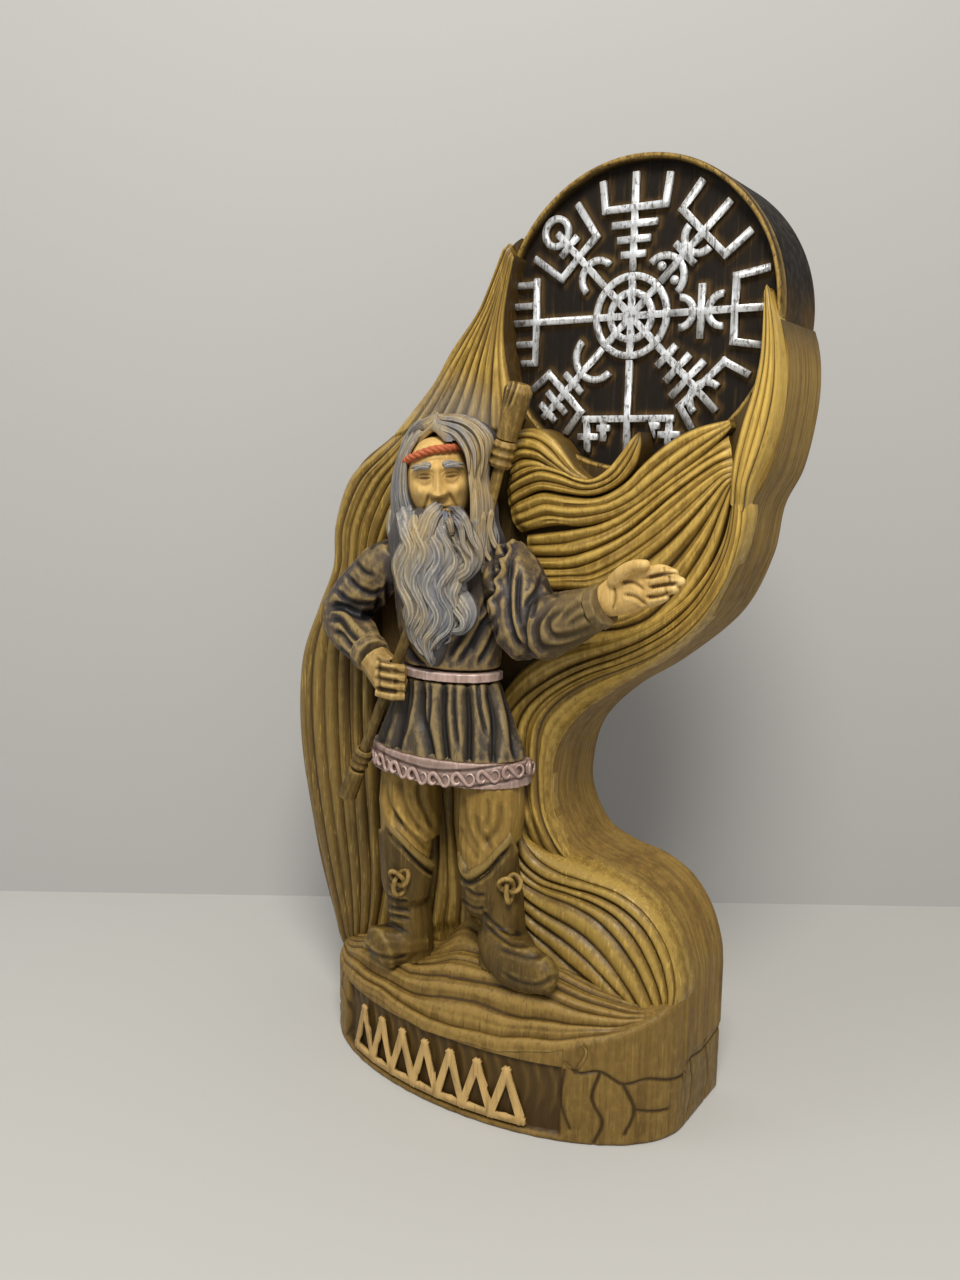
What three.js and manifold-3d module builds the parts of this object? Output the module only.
// A carved wooden dwarf on a plinth, in front of a tall board of flowing locks that carries a round
// panel with an eight-armed compass stave. Millimetres, +Z up, the front looks along -Y, +X is the
// viewer's right. The origin lies under the middle of the carving, on the surface it stands on.

import * as THREE from "three";
import { mergeVertices } from "three/addons/utils/BufferGeometryUtils.js";
import Module from "manifold-3d";

const wasm = await Module();
wasm.setup();

// Driving dimensions
const fit = 0.3; // gap between carved members whose seats are curved

const plinthWidth = 139;
const plinthHeight = 26;
const plinthCentreX = 2.5;
const plinthFrontDepth = 37; // bow of the front, in front of the straight sides
const plinthSideDepth = 29; // length of the straight sides
const fieldDepth = 1.5; // sunk field of the plinth ornament
const ornamentWidth = 2.4; // width of one carved stroke on the plinth

const backY = plinthSideDepth + 4; // flat back of the plinth and the board
const boardThickness = 31;
const flowThickness = 8; // flowing locks in front of the board
const boardFrontY = backY - boardThickness;
const flowFrontY = boardFrontY - flowThickness;

const discRadius = 45.8;
const discX = 43;
const discZ = 254.2;
const rimWidth = 2;
const rimHeight = 4; // height of the rim over the sunk floor of the disc
const strokeWidth = 2;
const strokeHeight = 1.8;
const hubRadius = 11.6; // middle line of the outer hub ring
const hubInnerRadius = 6.8;
const emblemShiftX = -0.9;
const emblemShiftZ = 0.3;

const figureX = -12; // middle of the figure
const figureY = -10;
const leftSoleZ = 38; // the ground rises from the left foot to the right one
const rightSoleZ = 46;
const leftBootHeight = 38;
const rightBootHeight = 36;
const bootCuffHeight = 7;
const hemHeight = 8;
const skirtHeight = 24;
const beltHeight = 4.5;
const torsoHeight = 46;
const shaftRadius = 1.9;

const hemZ = leftSoleZ + 70;
const skirtZ = hemZ + hemHeight;
const beltZ = skirtZ + skirtHeight;
const torsoZ = beltZ + beltHeight;
const shoulderZ = torsoZ + torsoHeight - 8;
const headX = figureX - 3;
const chinZ = torsoZ + torsoHeight + 1;

// Finishes
function finish(color, roughness, metalness = 0) {
  return new THREE.MeshStandardMaterial({ color, roughness, metalness });
}
const honeyWood = finish(0xa97c34, 0.55);
const sideWood = finish(0x8c6a33, 0.7);
const blackenedWood = finish(0x2a231b, 0.6);
const silverPaint = finish(0xc9c9c4, 0.45, 0.2);
const tunicStain = finish(0x4a4347, 0.6);
const trimPaint = finish(0xc49c90, 0.4, 0.2);
const hairStain = finish(0x8d9098, 0.6);
const skinWood = finish(0xcda35a, 0.5);
const ropePaint = finish(0xa8472b, 0.5);
const bootStain = finish(0x6d5a36, 0.6);

// Solids
const part = new THREE.Group();

function solidOf(geometry) {
  const bare = geometry.clone();
  bare.deleteAttribute("normal");
  bare.deleteAttribute("uv");
  const merged = mergeVertices(bare, 1e-4);
  const vertProperties = new Float32Array(merged.attributes.position.array);
  const triVerts = new Uint32Array(merged.index.array);
  return new wasm.Manifold(new wasm.Mesh({ numProp: 3, vertProperties, triVerts }));
}

function addPiece(name, solid, material) {
  const { vertProperties, triVerts } = solid.getMesh();
  const geometry = new THREE.BufferGeometry();
  geometry.setAttribute("position", new THREE.BufferAttribute(vertProperties, 3));
  geometry.setIndex(new THREE.BufferAttribute(triVerts, 1));
  geometry.computeVertexNormals();
  const mesh = new THREE.Mesh(geometry, material);
  mesh.name = name;
  part.add(mesh);
}

// An upright plate: an outline in X and Z, from backward to backward minus thickness along Y.
function plate(shape, backward, thickness, curveSegments = 12) {
  const geometry = new THREE.ExtrudeGeometry(shape, {
    depth: thickness,
    bevelEnabled: false,
    curveSegments,
  });
  geometry.rotateX(Math.PI / 2);
  geometry.translate(0, backward, 0);
  return solidOf(geometry);
}

// A level slab: an outline in X and Y, from bottom upwards.
function slab(shape, bottom, height, curveSegments = 32) {
  const geometry = new THREE.ExtrudeGeometry(shape, {
    depth: height,
    bevelEnabled: false,
    curveSegments,
  });
  geometry.translate(0, 0, bottom);
  return solidOf(geometry);
}

const far = 400;

// The part of a solid inside the limits that are given.
function within(solid, { minX = -far, maxX = far, minY = -far, maxY = far, minZ = -far, maxZ = far }) {
  const box = new THREE.BoxGeometry(maxX - minX, maxY - minY, maxZ - minZ);
  box.translate((minX + maxX) / 2, (minY + maxY) / 2, (minZ + maxZ) / 2);
  return solid.intersect(solidOf(box));
}

function joined(solids) {
  return solids.reduce((sum, next) => sum.add(next));
}

function cutBy(solid, neighbours) {
  return neighbours.reduce((left, neighbour) => left.subtract(neighbour), solid);
}

// A closed skin over rings of points, each ring turning the same way round the path.
function skin(rings) {
  const sides = rings[0].length;
  const points = rings.flat();
  const triangles = [];
  for (let i = 0; i + 1 < rings.length; i += 1) {
    for (let j = 0; j < sides; j += 1) {
      const a = i * sides + j;
      const b = i * sides + ((j + 1) % sides);
      triangles.push(a, b, b + sides, a, b + sides, a + sides);
    }
  }
  for (const [ring, turn] of [[0, -1], [rings.length - 1, 1]]) {
    const middle = new THREE.Vector3();
    rings[ring].forEach((point) => middle.add(point));
    middle.divideScalar(sides);
    const hub = points.push(middle) - 1;
    for (let j = 0; j < sides; j += 1) {
      const a = ring * sides + j;
      const b = ring * sides + ((j + 1) % sides);
      triangles.push(...(turn > 0 ? [hub, a, b] : [hub, b, a]));
    }
  }
  const geometry = new THREE.BufferGeometry().setFromPoints(points);
  geometry.setIndex(triangles);
  return solidOf(geometry);
}

// A body of level oval sections, each [x, y, z, half width, half depth], grown by spare all round.
function loft(sections, spare = 0, sides = 16) {
  return skin(
    sections.map(([x, y, z, halfWidth, halfDepth]) =>
      Array.from({ length: sides }, (_, k) => {
        const angle = (2 * Math.PI * k) / sides;
        const px = x + (halfWidth + spare) * Math.cos(angle);
        const py = y + (halfDepth + spare) * Math.sin(angle);
        return new THREE.Vector3(px, py, z);
      }),
    ),
  );
}

// A body along a path of stations, each [x, y, z, half width, half depth], with square sections.
function limb(stations, spare = 0, sides = 10) {
  const places = stations.map(([x, y, z]) => new THREE.Vector3(x, y, z));
  const last = places.length - 1;
  const forward = new THREE.Vector3(0, -1, 0);
  return skin(
    stations.map((station, i) => {
      const halfWidth = station[3] + spare;
      const halfDepth = (station[4] ?? station[3]) + spare;
      const before = places[Math.max(i - 1, 0)];
      const after = places[Math.min(i + 1, last)];
      const along = after.clone().sub(before).normalize();
      const reach = i === 0 ? -spare : i === last ? spare : 0;
      const front = forward.clone().addScaledVector(along, -forward.dot(along)).normalize();
      const side = front.clone().cross(along);
      return Array.from({ length: sides }, (_, k) => {
        const angle = (2 * Math.PI * k) / sides;
        return places[i]
          .clone()
          .addScaledVector(along, reach)
          .addScaledVector(side, halfWidth * Math.cos(angle))
          .addScaledVector(front, halfDepth * Math.sin(angle));
      });
    }),
  );
}

function curveThrough(points, steps) {
  return new THREE.SplineCurve(points.map(([x, y]) => new THREE.Vector2(x, y))).getPoints(steps);
}

// Plinth
function plinthShape(inset = 0) {
  const half = plinthWidth / 2 - inset;
  const bow = plinthFrontDepth - inset;
  const shape = new THREE.Shape();
  shape.moveTo(plinthCentreX + half, backY);
  shape.lineTo(plinthCentreX - half, backY);
  shape.lineTo(plinthCentreX - half, backY - plinthSideDepth);
  shape.absellipse(plinthCentreX, backY - plinthSideDepth, half, bow, Math.PI, 2 * Math.PI, false);
  return shape;
}

const fieldLeft = -44;
const fieldRight = 34;
const fieldBottom = 2.5;
const fieldTop = plinthHeight - 2.5;
const frontY = backY - plinthSideDepth - plinthFrontDepth;

// A wall that follows the bow of the plinth between two depths under its surface.
function plinthShell(outerInset, innerInset) {
  const outer = slab(plinthShape(outerInset), 0, plinthHeight);
  const inner = slab(plinthShape(innerInset), -1, plinthHeight + 2);
  return outer.subtract(inner);
}

const fieldOutline = new THREE.Shape([
  new THREE.Vector2(fieldLeft, fieldBottom),
  new THREE.Vector2(fieldRight, fieldBottom),
  new THREE.Vector2(fieldRight, fieldTop),
  new THREE.Vector2(fieldLeft, fieldTop),
]);
const field = plate(fieldOutline, figureY, figureY - frontY + 2);
const fieldCut = field.intersect(plinthShell(-1, fieldDepth));
addPiece("plinth", slab(plinthShape(), 0, plinthHeight).subtract(fieldCut), honeyWood);

// Straight strokes in the plane of X and Z
function bar(from, to, width, backward, thickness) {
  const [dx, dz] = [to[0] - from[0], to[1] - from[1]];
  const geometry = new THREE.BoxGeometry(Math.hypot(dx, dz) + width, thickness, width);
  geometry.rotateY(-Math.atan2(dz, dx));
  geometry.translate((from[0] + to[0]) / 2, backward - thickness / 2, (from[1] + to[1]) / 2);
  return solidOf(geometry);
}

function bars(points, width, backward, thickness) {
  return points.slice(1).map((point, i) => bar(points[i], point, width, backward, thickness));
}

// Zigzag over a footing line, standing in the sunk field
const zigzagTeeth = 7;
const toothWidth = (fieldRight - fieldLeft - 6) / zigzagTeeth;
const zigzag = [];
for (let i = 0; i <= 2 * zigzagTeeth; i += 1) {
  zigzag.push([fieldLeft + 3 + (i * toothWidth) / 2, i % 2 ? fieldTop - 3 : fieldBottom + 2]);
}
const footing = [zigzag[0], zigzag[zigzag.length - 1]];
const ornament = joined([
  ...bars(zigzag, ornamentWidth, figureY, figureY - frontY + 2),
  ...bars(footing, ornamentWidth, figureY, figureY - frontY + 2),
]);
addPiece("plinth_ornament", ornament.intersect(plinthShell(0, fieldDepth - fit)), skinWood);

// Ground: two treads for the feet, with soft slopes beside them
const groundTop = [
  [plinthCentreX - plinthWidth / 2, plinthHeight + 4],
  [-54, plinthHeight + 8],
  [-44, leftSoleZ],
  [-8, leftSoleZ],
  [2, rightSoleZ],
  [44, rightSoleZ],
  [58, rightSoleZ - 3],
  [plinthCentreX + plinthWidth / 2, plinthHeight + 14],
];
const groundInset = 1;

function groundForm(spare = 0) {
  const corners = groundTop.map(([x, z]) => new THREE.Vector2(x, z + spare));
  const [first, last] = [corners[0], corners[corners.length - 1]];
  corners.unshift(new THREE.Vector2(first.x, plinthHeight));
  corners.push(new THREE.Vector2(last.x, plinthHeight));
  const cut = plate(new THREE.Shape(corners.reverse()), boardFrontY, boardFrontY - frontY);
  return cut.intersect(slab(plinthShape(groundInset - spare), 0, rightSoleZ + 1));
}
addPiece("ground", groundForm(), honeyWood);

// Board outline, anticlockwise from its lower right corner; it runs behind the disc at the top
const boardFootRight = plinthCentreX + plinthWidth / 2;
const boardFootLeft = plinthCentreX - plinthWidth / 2;
const boardRight = [
  [boardFootRight, 46], [boardFootRight - 1, 54], [67, 65], [60, 74], [50, 79.5], [38, 82],
  [28, 86.5], [21.5, 97], [20.5, 108], [24.5, 123], [36.6, 136.3], [54.3, 148.7],
  [72.2, 165.3], [80.8, 183.4], [83.5, 199],
  [discX + discRadius, 211], [discX + discRadius + 3, 229],
  [discX + discRadius + 2.4, discZ - 11.2], [discX + discRadius - 1.8, discZ + 1.8],
];
const boardLeft = [
  [discX - 0.74 * discRadius, discZ + 0.61 * discRadius],
  [discX - 0.94 * discRadius, discZ + 0.5 * discRadius],
  [discX - 1.04 * discRadius, discZ + 0.28 * discRadius],
  [-11, 257.8], [-20.9, 245.6], [-35, 228], [-48.4, 218.5], [-61, 210], [-70.2, 198],
  [-73.5, 183], [-73, 169], [-79.3, 158.8], [-86.1, 141], [-90.9, 120],
  [-92, 106], [-90.3, 92], [-87, 76], [-82.5, 57], [boardFootLeft - 9, 38], [boardFootLeft - 3, plinthHeight],
];

function boardShape(inset = 0) {
  const right = curveThrough(boardRight, 3 * (boardRight.length - 1));
  const left = curveThrough(boardLeft, 3 * (boardLeft.length - 1));
  const edge = [
    new THREE.Vector2(boardFootLeft, plinthHeight),
    new THREE.Vector2(boardFootRight, plinthHeight),
    ...right,
    ...left,
  ];
  if (inset === 0) return new THREE.Shape(edge);
  const moved = edge.map((point, i) => {
    const before = edge[(i + edge.length - 1) % edge.length];
    const after = edge[(i + 1) % edge.length];
    const along = after.clone().sub(before).normalize();
    const movedZ = Math.max(plinthHeight, point.y + inset * along.x);
    return new THREE.Vector2(point.x - inset * along.y, movedZ);
  });
  return new THREE.Shape(moved);
}

function discShape(spare = 0) {
  const shape = new THREE.Shape();
  shape.absarc(discX, discZ, discRadius + spare, 0, 2 * Math.PI, false);
  return shape;
}
const discSegments = 48;

const boardBlank = plate(boardShape(), backY, boardThickness);
const discHole = plate(discShape(fit), backY + 1, boardThickness + 2, discSegments);
addPiece("backboard", boardBlank.subtract(discHole), sideWood);

// Disc: a dark block, and the rim layer that leaves its sunk window open
const floorY = boardFrontY + rimHeight;
addPiece("disc_block", plate(discShape(), backY, backY - floorY, discSegments), blackenedWood);

// Lower edge of the open window, from the centre of the disc: locks and flames lap over the floor.
// The points are shares of the disc radius, in hundredths.
const windowEdge = [
  [-92, 24], [-93, 2], [-90, -17], [-83, -35], [-72, -52], [-70, -70], [-57, -72], [-41, -79],
  [-28, -91], [-22, -94], [-13, -94], [-4, -88], [4, -79], [13, -66], [17, -76], [22, -87], [31, -91],
  [46, -84], [61, -73], [74, -68], [81, -70], [86, -57], [91, -35], [92, -9], [94, 11],
];
const windowPoints = windowEdge.map(([x, z]) => [(x * discRadius) / 100, (z * discRadius) / 100]);

function windowShape(inset = 0) {
  const radius = discRadius - rimWidth - inset;
  const [endX, endZ] = windowPoints[windowPoints.length - 1];
  const [startX, startZ] = windowPoints[0];
  const shape = new THREE.Shape();
  windowPoints.forEach(([x, z], i) => {
    const nearer = 1 - inset / Math.hypot(x, z);
    const place = [discX + x * nearer, discZ + z * nearer];
    if (i === 0) shape.moveTo(...place);
    else shape.lineTo(...place);
  });
  shape.absarc(discX, discZ, radius, Math.atan2(endZ, endX), Math.atan2(startZ, startX), false);
  return shape;
}

const windowCut = plate(windowShape(), backY, far, discSegments);
const rimBlank = plate(discShape(), floorY, rimHeight, discSegments);
addPiece("disc_rim", rimBlank.subtract(windowCut), honeyWood);

// Flowing locks: one carved layer over the board, parted by seams
const flowInset = 1.2;
const flowBoard = plate(boardShape(flowInset), boardFrontY, flowThickness);
const flowDisc = plate(discShape(-flowInset / 2), boardFrontY, flowThickness, discSegments);

// The sector of the disc that stays bare: right of its centre, up its left edge and over its top
const bareSector = new THREE.Shape([
  new THREE.Vector2(discX + discRadius + 4, discZ + 6),
  new THREE.Vector2(discX, discZ),
  new THREE.Vector2(discX - discRadius + 3, discZ + 0.59 * discRadius),
  new THREE.Vector2(discX - discRadius + 3, discZ + discRadius + 14),
  new THREE.Vector2(discX + discRadius + 4, discZ + discRadius + 14),
]);
const bareDisc = plate(bareSector, backY, far);
const flow = cutBy(flowBoard.add(flowDisc), [windowCut, bareDisc, groundForm(fit)]);

// The side of a seam that lies towards [x, z], with half the gap taken from it
function beyond(seam, [towardX, towardZ]) {
  const gap = fit / 2;
  const path = curveThrough(seam, 4 * (seam.length - 1));
  const outline = path.map((p) => new THREE.Vector2(p.x + towardX * gap, p.y + towardZ * gap));
  const first = outline[0];
  const last = outline[outline.length - 1];
  outline.push(new THREE.Vector2(last.x + towardX * far, last.y + towardZ * far));
  outline.push(new THREE.Vector2(first.x + towardX * far, first.y + towardZ * far));
  return plate(new THREE.Shape(outline), backY, far);
}

const toLeft = [-1, 0];
const toRight = [1, 0];
const up = [0, 1];
const down = [0, -1];
const fringeSeam = [[-50, 20], [-44, 60], [-40, 95], [-26, 125], [-20, 160], [-24, 195], [-34, 240]];
const fanSeam = [[-12, 190], [-10, 214], [-2, 224], [8, 240], [14, 290]];
const crownSeam = [
  [-110, 222], [-62, 213], [-40, 208], [-12, 209], [8, 214], [28, 203], [50, 206], [70, 214], [110, 224],
];
const armSeam = [[-60, 118], [0, 138], [14, 150], [40, 158], [62, 174], [76, 192], [110, 210]];
const kneeSeam = [[-110, 113], [0, 112], [120, 111]];
const humpSeam = [[10, 130], [10, 90], [12, 60], [14, 20]];
const flameSeam = [[60, 150], [66, 190], [72, 208], [76, 220], [78, 290]];

const flowPieces = {
  fringe_left: [[fringeSeam, toLeft], [crownSeam, down]],
  fan_left: [[crownSeam, up], [fanSeam, toLeft]],
  folds_behind_legs: [[fringeSeam, toRight], [kneeSeam, down], [humpSeam, toLeft]],
  hump_flow: [[kneeSeam, down], [humpSeam, toRight]],
  sweep_lower: [[fringeSeam, toRight], [kneeSeam, up], [armSeam, down]],
  waves_middle: [[fringeSeam, toRight], [armSeam, up], [crownSeam, down], [flameSeam, toLeft]],
  flames_middle: [[crownSeam, up], [flameSeam, toLeft], [fanSeam, toRight]],
  flame_right: [[armSeam, up], [flameSeam, toRight]],
};

// The left fringe is carved into locks of even width between its outer edge and its inner line.
// Each station is [outer x, outer z, inner x, inner z].
const fringeStations = [
  [boardFootLeft - 1.5, 20, -54.8, 29.4], [-73.6, 36.3, -49.3, 41.4], [-79.7, 56.8, -46.8, 59.5],
  [-85.9, 77.2, -47.6, 79.6], [-90.5, 97.6, -48.8, 99.6], [-92, 118.1, -49.8, 119.7],
  [-89.4, 138.5, -50.3, 139.8], [-80.8, 156.9, -50.3, 157.8], [-73.6, 172.2, -48.8, 169.9],
  [-72.6, 187.5, -46.8, 177.9], [-66.4, 203.9, -42.8, 187.9], [-55.2, 213.1, -37.8, 198],
  [-45, 220.2, -32.8, 208],
];
const fringeLocks = 6;
const valleyDepth = 2.8; // grooves between the locks
const edgeDepth = flowThickness - 0.6; // the outermost lock rolls over towards the board
const coverThickness = 6; // of the blank that is cut away in front of the locks

function fringeCover() {
  const sunk = (k) => {
    if (k === 0) return edgeDepth;
    if (k === 1) return edgeDepth / 2;
    return k % 2 === 0 ? valleyDepth : -0.2;
  };
  const rings = fringeStations.map(([outerX, outerZ, innerX, innerZ]) => {
    const outer = new THREE.Vector3(outerX, flowFrontY, outerZ);
    const inner = new THREE.Vector3(innerX, flowFrontY, innerZ);
    const profile = Array.from({ length: 2 * fringeLocks + 1 }, (_, k) => {
      const place = outer.clone().lerp(inner, k / (2 * fringeLocks));
      return place.setY(flowFrontY + sunk(k));
    });
    const ends = [outer, inner].map((place) => place.clone().setY(flowFrontY - coverThickness));
    return [...ends, ...profile.reverse()];
  });
  return skin(rings);
}

for (const [name, sides] of Object.entries(flowPieces)) {
  const blank = sides.reduce((left, [seam, toward]) => left.intersect(beyond(seam, toward)), flow);
  addPiece(name, name === "fringe_left" ? blank.subtract(fringeCover()) : blank, honeyWood);
}

// Compass stave: every arm is drawn pointing up, as [across, outward] from the hub, then turned
const strokeBack = floorY;
const armReach = 41;

function arcStroke(across, outward, radius, from, to) {
  const shape = new THREE.Shape();
  shape.absarc(across, outward, radius + strokeWidth / 2, from, to, false);
  shape.absarc(across, outward, radius - strokeWidth / 2, to, from, true);
  return plate(shape, strokeBack, strokeHeight, 8);
}

function ringStroke(across, outward, radius) {
  const shape = new THREE.Shape();
  shape.absarc(across, outward, radius + strokeWidth / 2, 0, 2 * Math.PI, false);
  const hole = new THREE.Path();
  hole.absarc(across, outward, radius - strokeWidth / 2, 0, 2 * Math.PI, true);
  shape.holes.push(hole);
  return plate(shape, strokeBack, strokeHeight, 20);
}

const line = (...points) => bars(points, strokeWidth, strokeBack, strokeHeight);
const rung = (outward, half) => line([-half, outward], [half, outward]);
const cupOut = (outward, radius) => arcStroke(0, outward, radius, Math.PI, 2 * Math.PI);
const cupIn = (outward, radius) => arcStroke(0, outward, radius, 0, Math.PI);
const stemFoot = hubRadius + strokeWidth / 2 + fit + strokeWidth / 2;
const stem = (reach = armReach) => line([0, stemFoot], [0, reach]);
const fork = (outward, half, tip, spread) =>
  line([-half - spread, tip], [-half, outward], [half, outward], [half + spread, tip]);

const compassArms = {
  north: [
    ...stem(armReach - 1), ...fork(31, 9.8, 38.6, 1), ...rung(26.4, 6.4), ...rung(22, 4.4),
    ...rung(17.7, 3),
  ],
  northeast: [...stem(), ...fork(31, 9.6, 39.6, 1), cupOut(29.4, 4.6), ...rung(23.3, 3.4), cupIn(14.6, 6.2)],
  east: [...stem(), ...fork(32.5, 9, 41.2, 1.4), cupOut(29, 4.5), ...rung(22.3, 6.7), cupIn(15.6, 4.3)],
  southeast: [
    ...stem(armReach - 2), ...line([-13.4, 38.8], [-11.2, 31.5], [6.8, 31], [8.4, 37.6]), cupOut(35.4, 5),
    ...rung(26.8, 6.1), ...rung(22.2, 4.3), ...rung(17.1, 3.1),
  ],
  south: [
    ...stem(), ...rung(30.2, 14.4), ...line([-14, 30.2], [-13.6, 38.6]), ...line([14, 30.2], [13.4, 39.4]),
    ...line([-16.4, 35], [-11.4, 35]), ...line([10.8, 35.6], [15.8, 35.6]),
    ...line([-8.4, 30.2], [-8.4, 35.2]), ...line([8, 30.2], [8, 36]),
    ...line([6.8, 33], [9.2, 33]), ...line([-9.8, 32.4], [-7.2, 32.4]),
  ],
  southwest: [
    ...stem(), ...fork(31.1, 8.3, 39.4, 1), ...rung(27, 3.3), ...rung(armReach - 5.7, 3.8),
    ...rung(armReach - 1.4, 2.9), cupIn(16.3, 6.8),
  ],
  west: [
    ...stem(armReach + 1), ...rung(33.2, 12.5), ...line([-12.5, 33.2], [-12.5, 39.4]),
    ...line([-6.6, 33.2], [-6.6, 40.6]), ...line([5.2, 33.2], [5.2, 41.4]),
    ...line([11.6, 33.2], [11.6, 39.8]),
  ],
  northwest: [
    ...stem(armReach - 5), ...fork(26, 8.2, 37, 2), ...rung(31, 3),
    ringStroke(0, armReach - 3.6, 4.1),
    cupIn(16.4, 5.4),
  ],
};

const openFloor = plate(windowShape(fit), backY, far, discSegments);

function placeStroke(solid, turns) {
  const turned = solid.rotate([0, (turns * 360) / 8, 0]);
  return turned.translate([discX + emblemShiftX, 0, discZ + emblemShiftZ]).intersect(openFloor);
}

const spokes = [];
for (let i = 0; i < 4; i += 1) {
  const angle = (Math.PI * i) / 4;
  const reach = [hubRadius * Math.cos(angle), hubRadius * Math.sin(angle)];
  spokes.push(...line([-reach[0], -reach[1]], reach));
}
const hubStrokes = joined([ringStroke(0, 0, hubRadius), ringStroke(0, 0, hubInnerRadius), ...spokes]);
const hubTrim = new THREE.Shape();
hubTrim.absarc(0, 0, hubRadius + strokeWidth / 2, 0, 2 * Math.PI, false);
addPiece("compass_hub", placeStroke(hubStrokes.intersect(plate(hubTrim, backY, far, 24)), 0), silverPaint);
Object.entries(compassArms).forEach(([direction, strokes], turns) => {
  addPiece("compass_arm_" + direction, placeStroke(joined(strokes), turns), silverPaint);
});
const dotRadius = 1.3;
const dotAcross = 3;
const dotOutward = 16.2;
for (const [name, across] of [["compass_dot_upper", -dotAcross], ["compass_dot_lower", dotAcross]]) {
  const dot = new THREE.Shape();
  dot.absarc(across, dotOutward, dotRadius, 0, 2 * Math.PI, false);
  addPiece(name, placeStroke(plate(dot, strokeBack, strokeHeight, 12), 1), silverPaint);
}

// Figure: every piece is seated on the front of the flowing locks
function frontOf(solid, limits = {}) {
  return within(solid, { maxY: flowFrontY, ...limits });
}

// Boots: sections from the sole up, then the foot reaching out to the toe
const legY = figureY - 2;
const bootTopRadius = 9.2;
const calfRadius = 7.6;
const calfShare = 0.6; // height of the calf as a share of the boot's
const knotShare = 0.83;

// Side, sole height, boot height, then X of the heel, the calf and the knee, the toe, the knot's turn
const legs = [
  ["left", leftSoleZ, leftBootHeight, figureX - 14.5, figureX - 16, figureX - 15, [figureX - 20, -26.5], 20],
  ["right", rightSoleZ, rightBootHeight, figureX + 24, figureX + 23, figureX + 18.5, [figureX + 41, -24], 56],
];

// Trefoil knot on a boot shaft: a closed three-lobed cord
const knotCord = 0.9;
const knotDepth = 1.4;
const knotStandOff = 0.5;
class Trefoil extends THREE.Curve {
  getPoint(t, target = new THREE.Vector3()) {
    const angle = 2 * Math.PI * t;
    const across = Math.sin(angle) + 2 * Math.sin(2 * angle);
    const upward = Math.cos(angle) - 2 * Math.cos(2 * angle);
    return target.set(1.25 * across, -knotDepth * Math.sin(3 * angle), 1.7 * upward);
  }
}

for (const [side, soleZ, bootHeight, heelX, calfX, kneeX, [toeX, toeY], knotTurn] of legs) {
  const bootTop = soleZ + bootHeight;
  const calfZ = soleZ + calfShare * bootHeight;
  const shaft = loft([
    [heelX, legY, soleZ, 8, 9],
    [heelX, legY, soleZ + 12, 7.2, 8.4],
    [calfX, legY, calfZ, calfRadius, calfRadius],
    [kneeX, legY, bootTop, bootTopRadius, bootTopRadius],
  ]);
  const reachX = toeX - heelX;
  const reachY = toeY - legY;
  const foot = limb([
    [heelX, legY + 2, soleZ + 6, 7, 9],
    [heelX + 0.4 * reachX, legY + 0.4 * reachY, soleZ + 6, 7.5, 8.5],
    [heelX + 0.8 * reachX, legY + 0.8 * reachY, soleZ + 5.5, 8.5, 7],
    [toeX, toeY, soleZ + 4, 5.5, 4],
  ], 0, 14);
  addPiece("boot_" + side, frontOf(shaft.add(foot), { minZ: soleZ, maxZ: bootTop }), bootStain);

  const knotZ = soleZ + knotShare * bootHeight;
  const knot = new THREE.TubeGeometry(new Trefoil(), 42, knotCord, 6, true);
  const knotReach = (bootTopRadius + calfRadius) / 2 + knotDepth + knotCord + knotStandOff;
  knot.translate(0, -knotReach, 0);
  knot.rotateZ(THREE.MathUtils.degToRad(knotTurn));
  knot.translate((calfX + kneeX) / 2, legY, knotZ);
  addPiece("boot_knot_" + side, solidOf(knot), trimPaint);

  const cuffTop = bootTop + bootCuffHeight;
  const cuff = loft([
    [kneeX, legY, bootTop, 9.8, 9.6],
    [kneeX, legY, cuffTop, 11.2, 10.8],
  ]);
  const trousers = loft([
    [kneeX, legY, cuffTop, 10.4, 10],
    [kneeX, legY, (cuffTop + hemZ) / 2, 11.2, 10.8],
    [kneeX, legY, hemZ, 10.6, 10],
  ]);
  addPiece("boot_cuff_" + side, frontOf(cuff), bootStain);
  addPiece("trouser_" + side, frontOf(trousers), honeyWood);
}

// Tunic: hem, skirt, belt and chest, stacked on level joints
const waistHalfWidth = 18;
const waistHalfDepth = 13;
const hemHalfWidth = 30;
const hemHalfDepth = 18;
const hem = (spare = 0) => loft([
  [figureX, figureY, hemZ - spare, hemHalfWidth + 1, hemHalfDepth + 0.5],
  [figureX, figureY, skirtZ + spare, hemHalfWidth, hemHalfDepth],
], spare, 24);
const skirt = (spare = 0) => loft([
  [figureX, figureY, skirtZ, hemHalfWidth - 1, hemHalfDepth - 0.8],
  [figureX, figureY, skirtZ + 0.5 * skirtHeight, waistHalfWidth + 5.5, waistHalfDepth + 2],
  [figureX, figureY, beltZ, waistHalfWidth, waistHalfDepth],
], spare, 24);
const belt = (spare = 0) => loft([
  [figureX, figureY, beltZ - spare, waistHalfWidth + 1, waistHalfDepth + 1],
  [figureX, figureY, torsoZ + spare, waistHalfWidth + 1, waistHalfDepth + 1],
], spare, 20);
const torso = (spare = 0) => loft([
  [figureX, figureY, torsoZ, waistHalfWidth, waistHalfDepth],
  [figureX - 0.5, figureY, torsoZ + 18, 20.5, 14],
  [figureX - 1, figureY, torsoZ + 33, 23, 12.5],
  [figureX - 2, figureY, torsoZ + 41, 19, 10],
  [headX, figureY, torsoZ + torsoHeight, 9, 7],
], spare, 20);
const chestFlatY = figureY - waistHalfDepth + 0.5; // the chest is flat where the beard lies on it
const trunk = [torso(fit), belt(fit), skirt(fit)];
addPiece("hem_band", frontOf(hem()), trimPaint);
addPiece("tunic_skirt", frontOf(skirt()), tunicStain);
addPiece("belt", frontOf(belt()), trimPaint);
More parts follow.
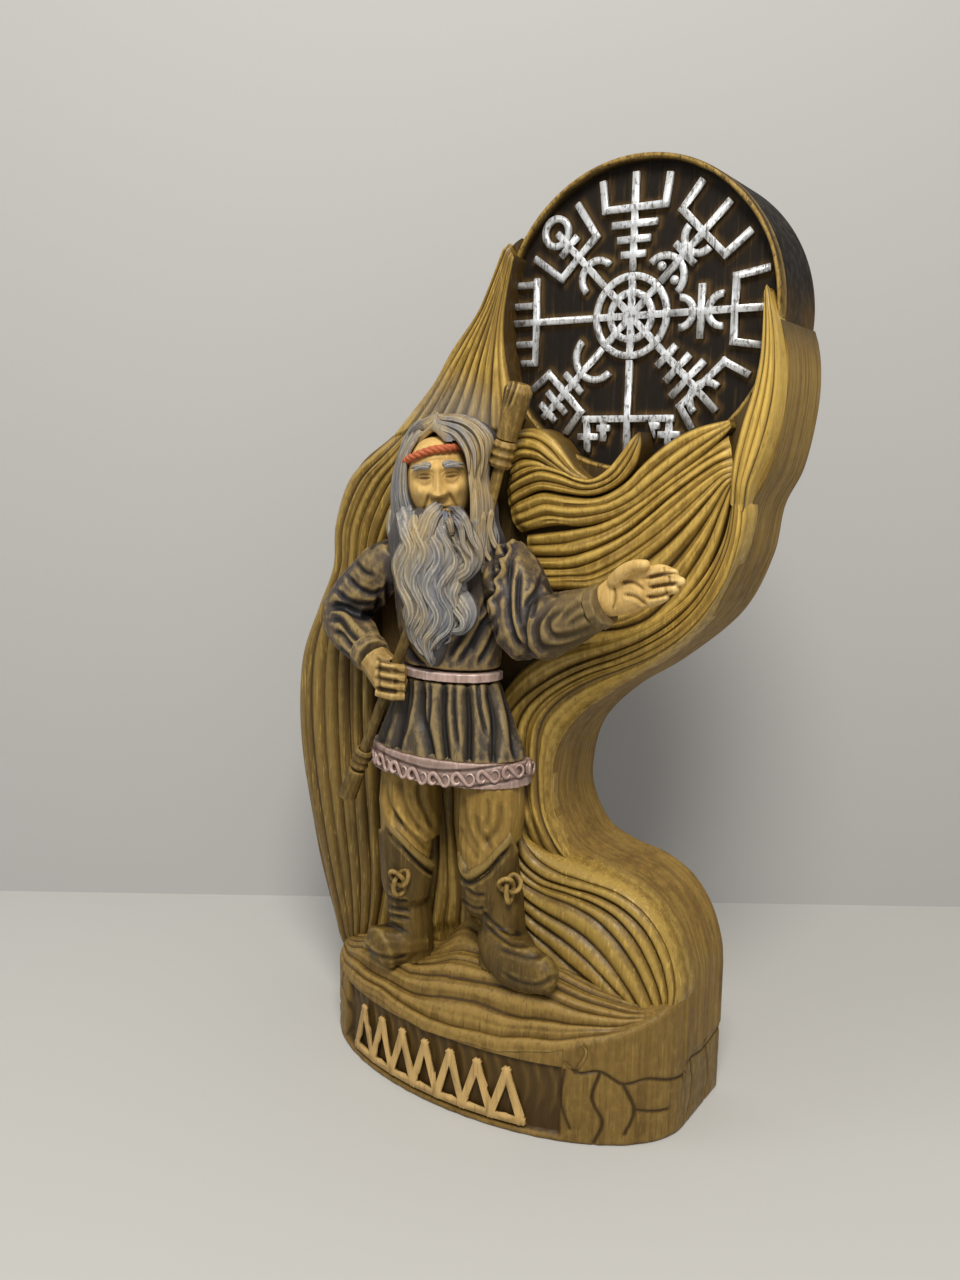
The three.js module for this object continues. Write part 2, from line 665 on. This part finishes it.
addPiece("tunic_chest", frontOf(torso(), { minY: chestFlatY }), tunicStain);

// Left arm: upper sleeve, forearm sleeve, cuff and the fist that holds the staff
const leftShoulder = [figureX - 23, -10, shoulderZ - 2];
const leftElbow = [figureX - 47, -12, beltZ + 16];
const leftWrist = [figureX - 22, -24, beltZ + 6];
const between = (a, b, share) => a.map((value, i) => value + share * (b[i] - value));

const upperSleeveLeft = (spare = 0) => limb([
  [...leftShoulder, 6],
  [...between(leftShoulder, leftElbow, 0.2), 9],
  [...between(leftShoulder, leftElbow, 0.6), 9.5],
  [...between(leftShoulder, leftElbow, 0.95), 8.5],
  [...between(leftShoulder, leftElbow, 1.12), 5],
], spare);
const forearmSleeveLeft = (spare = 0) => limb([
  [...between(leftElbow, leftWrist, -0.1), 4],
  [...between(leftElbow, leftWrist, 0.08), 8],
  [...between(leftElbow, leftWrist, 0.45), 8],
  [...between(leftElbow, leftWrist, 0.85), 6.4],
], spare);
const cuffLeft = (spare = 0) => limb([
  [...between(leftElbow, leftWrist, 0.85), 6.8],
  [...between(leftElbow, leftWrist, 1), 6.4],
], spare);
addPiece("upper_sleeve_left", frontOf(cutBy(upperSleeveLeft(), trunk)), tunicStain);
const foreTrimLeft = cutBy(forearmSleeveLeft(), [upperSleeveLeft(fit), cuffLeft(fit), ...trunk]);
addPiece("forearm_sleeve_left", frontOf(foreTrimLeft), tunicStain);

const staffFoot = [figureX - 32, -23.5, hemZ - 8];
const staffHead = [figureX - 5, -25, torsoZ + 15];
const staff = (spare = 0) => limb([[...staffFoot, shaftRadius], [...staffHead, shaftRadius]], spare, 8);
addPiece("cuff_left", frontOf(cutBy(cuffLeft(), [staff(fit), ...trunk])), tunicStain);

const fistCentre = between(staffFoot, staffHead, 0.69);
const fist = (spare = 0) => {
  const palm = limb([
    [...between(leftElbow, leftWrist, 1.02), 5.4],
    [fistCentre[0] - 1, fistCentre[1] - 0.5, fistCentre[2] - 1, 6.2],
    [fistCentre[0] + 4.5, fistCentre[1] - 0.5, fistCentre[2] - 1.5, 5],
  ], spare);
  const knuckles = [0, 1, 2, 3].map((i) => limb([
    [fistCentre[0] - 2.5, fistCentre[1] - 5, fistCentre[2] + 4 - 3.1 * i, 1.7],
    [fistCentre[0] + 3.5, fistCentre[1] - 4.6, fistCentre[2] + 3.4 - 3.1 * i, 1.7],
    [fistCentre[0] + 6.2, fistCentre[1] - 1.5, fistCentre[2] + 3 - 3.1 * i, 1.4],
  ], spare, 6));
  return joined([palm, ...knuckles]);
};
addPiece("fist_left", frontOf(cutBy(fist(), [cuffLeft(fit), staff(fit), ...trunk])), skinWood);

// Right arm: hanging sleeve, forearm sleeve, cuff and the open hand
const rightShoulder = [figureX + 22, -10, shoulderZ - 2];
const rightElbow = [figureX + 33, -15, beltZ + 18];
const rightWrist = [figureX + 61, -20, beltZ + 30];
const palmEnd = [figureX + 75, -21, beltZ + 35.5];
const fingerEnd = [figureX + 88, -21.5, beltZ + 40.5];

const upperSleeveRight = (spare = 0) => limb([
  [...between(rightShoulder, rightElbow, -0.15), 6],
  [...between(rightShoulder, rightElbow, 0.15), 9.5],
  [...between(rightShoulder, rightElbow, 0.6), 11],
  [...between(rightShoulder, rightElbow, 1), 10.5],
  [...between(rightShoulder, rightElbow, 1.25), 7],
], spare);
const forearmSleeveRight = (spare = 0) => limb([
  [...between(rightElbow, rightWrist, -0.1), 6],
  [...between(rightElbow, rightWrist, 0.15), 10],
  [...between(rightElbow, rightWrist, 0.6), 8.6],
  [...between(rightElbow, rightWrist, 0.92), 6.6],
], spare);
const cuffRight = (spare = 0) => limb([
  [...between(rightElbow, rightWrist, 0.92), 7],
  [...between(rightElbow, rightWrist, 1.02), 6.4],
], spare);
addPiece("upper_sleeve_right", frontOf(cutBy(upperSleeveRight(), trunk)), tunicStain);
const foreTrimRight = cutBy(forearmSleeveRight(), [upperSleeveRight(fit), cuffRight(fit), ...trunk]);
addPiece("forearm_sleeve_right", frontOf(foreTrimRight), tunicStain);
addPiece("cuff_right", frontOf(cuffRight()), tunicStain);

const palm = limb([
  [...between(rightWrist, palmEnd, 0.1), 5, 4],
  [...between(rightWrist, palmEnd, 0.5), 6.8, 3.6],
  [...palmEnd, 6.4, 3],
]);
const fingers = [0, 1, 2, 3].map((i) => {
  const rise = 4.6 - 3.1 * i;
  const reach = [0.86, 1, 0.98, 0.8][i];
  return limb([
    [palmEnd[0] - 2, palmEnd[1], palmEnd[2] + rise, 1.7],
    [...between([palmEnd[0], palmEnd[1], palmEnd[2] + rise], fingerEnd, 0.5 * reach), 1.6],
    [palmEnd[0] + reach * (fingerEnd[0] - palmEnd[0]), fingerEnd[1], fingerEnd[2] + 0.7 * rise - 1, 1.1],
  ], 0, 6);
});
const thumb = limb([
  [rightWrist[0] + 3, rightWrist[1], rightWrist[2] + 4, 2.6],
  [rightWrist[0] + 7, rightWrist[1] - 1, rightWrist[2] + 10, 2.2],
  [rightWrist[0] + 13, rightWrist[1] - 1.5, rightWrist[2] + 13, 1.4],
], 0, 8);
const openHand = cutBy(joined([palm, ...fingers, thumb]), [cuffRight(fit)]);
addPiece("open_hand_right", frontOf(openHand), skinWood);

// Head: the face in front, hair round it, a rope band over the brow, moustache and beard below
const faceY = figureY - 4;
const head = (spare = 0) => loft([
  [headX, faceY - 1, chinZ - spare, 5, 6],
  [headX, faceY - 1, chinZ + 5, 9, 9.5],
  [headX, faceY, chinZ + 14, 11, 11],
  [headX, faceY, chinZ + 22, 11, 11],
  [headX, faceY, chinZ + 28 + spare, 7, 7],
], spare);
const nose = limb([
  [headX, faceY - 9.5, chinZ + 17, 1.3, 1.6],
  [headX, faceY - 11.5, chinZ + 12, 2, 2.4],
  [headX, faceY - 11.5, chinZ + 9, 2.8, 2.8],
  [headX, faceY - 10, chinZ + 7.5, 2, 1.6],
], 0, 8);
const hairFrontY = faceY - 7;
const hair = (spare = 0) => loft([
  [headX + 1, figureY + 1, torsoZ + 30, 12, 9],
  [headX + 1, figureY + 1, torsoZ + 38, 17, 11.5],
  [headX + 1, figureY + 1, chinZ + 8, 16.5, 12],
  [headX + 1, figureY, chinZ + 22, 16.5, 13.5],
  [headX + 1, figureY, chinZ + 30, 13, 11.5],
  [headX + 1, figureY, chinZ + 34 + spare, 6, 6],
], spare, 18);
const browZ = chinZ + 21;
const headband = (spare = 0) => limb([
  [headX - 11, faceY - 6, browZ - 2.5, 1.7],
  [headX - 7, faceY - 10, browZ - 0.5, 1.8],
  [headX, faceY - 12.2, browZ + 0.5, 1.9],
  [headX + 7, faceY - 10, browZ - 0.5, 1.8],
  [headX + 11, faceY - 6, browZ - 2.5, 1.7],
], spare, 8);
const moustache = (spare = 0) => limb([
  [headX - 8, faceY - 9, chinZ + 2, 1.2],
  [headX - 4, faceY - 12, chinZ + 5, 2],
  [headX, faceY - 12.6, chinZ + 6, 1.9],
  [headX + 4, faceY - 12, chinZ + 5, 2],
  [headX + 8, faceY - 9, chinZ + 2, 1.2],
], spare, 8);
const beard = (spare = 0) => loft([
  [headX + 6, chestFlatY, torsoZ + 1, 1.2, 2],
  [headX + 5, chestFlatY, torsoZ + 5, 5, 4.5],
  [headX + 4, chestFlatY, torsoZ + 16, 10, 6],
  [headX + 2, chestFlatY, torsoZ + 30, 13.5, 7],
  [headX, chestFlatY, torsoZ + 42, 13, 7.4],
  [headX, chestFlatY, chinZ + 3, 9.5, 6.4],
  [headX, chestFlatY, chinZ + 6, 6, 4],
], spare, 18);

const faceCuts = [headband(fit), moustache(fit)];
addPiece("face", frontOf(cutBy(head().add(nose), faceCuts)), skinWood);
addPiece("headband", frontOf(headband()), ropePaint);
addPiece("moustache", frontOf(moustache()), hairStain);
const beardCuts = [head(fit), moustache(fit), fist(fit), staff(fit)];
addPiece("beard", within(cutBy(beard(), beardCuts), { maxY: chestFlatY }), hairStain);

// Staff: the lower shaft in the fist, its wrapped butt, and the grip behind the shoulder
const butt = (spare = 0) => limb([
  [...between(staffFoot, staffHead, -0.08), 3.2],
  [...between(staffFoot, staffHead, 0.1), 3],
], spare, 10);
const wraps = (spare = 0) => {
  const stations = [];
  const rolls = 3;
  for (let i = 0; i <= 2 * rolls; i += 1) {
    const share = 0.115 + (0.115 * i) / (2 * rolls);
    stations.push([...between(staffFoot, staffHead, share), i % 2 ? 3.4 : 2.7]);
  }
  return limb(stations, spare, 10);
};
const wrapCuts = [staff(fit), butt(fit), ...trunk, hem(fit)];
addPiece("staff_shaft", frontOf(cutBy(staff(), [butt(fit), ...trunk, beard(fit)])), bootStain);
addPiece("staff_butt", frontOf(cutBy(butt(), [hem(fit)])), bootStain);
addPiece("staff_wraps", frontOf(cutBy(wraps(), wrapCuts)), bootStain);

const gripFoot = [headX + 18, flowFrontY - 4, chinZ + 8];
const gripHead = [headX + 28, flowFrontY - 5, chinZ + 42];
const upperShaft = (spare = 0) => limb([
  [...between(gripFoot, gripHead, -0.2), shaftRadius],
  [...between(gripFoot, gripHead, 0.4), shaftRadius],
], spare, 8);
const collars = (spare = 0) => {
  const stations = [];
  for (let i = 0; i <= 6; i += 1) {
    stations.push([...between(gripFoot, gripHead, 0.28 + 0.04 * i), i % 2 ? 4 : 3.1]);
  }
  return limb(stations, spare, 10);
};
const grip = (spare = 0) => limb([
  [...between(gripFoot, gripHead, 0.53), 3.2],
  [...between(gripFoot, gripHead, 0.75), 4],
  [...between(gripFoot, gripHead, 0.97), 4.6],
  [...between(gripFoot, gripHead, 1.03), 3.2],
], spare, 10);
addPiece("staff_grip", frontOf(cutBy(grip(), [collars(fit)])), bootStain);
addPiece("staff_collars", frontOf(cutBy(collars(), [hair(fit), upperShaft(fit)])), bootStain);
addPiece("staff_neck", frontOf(cutBy(upperShaft(), [hair(fit), torso(fit)])), bootStain);

// Hair: it lies round the head and on the shoulders
const headCuts = [head(fit), headband(fit), beard(fit), moustache(fit)];
const shoulderCuts = [torso(fit), upperSleeveLeft(fit), upperSleeveRight(fit)];
addPiece("hair", frontOf(cutBy(hair(), [...headCuts, ...shoulderCuts]), { minY: hairFrontY }), hairStain);

export default part;
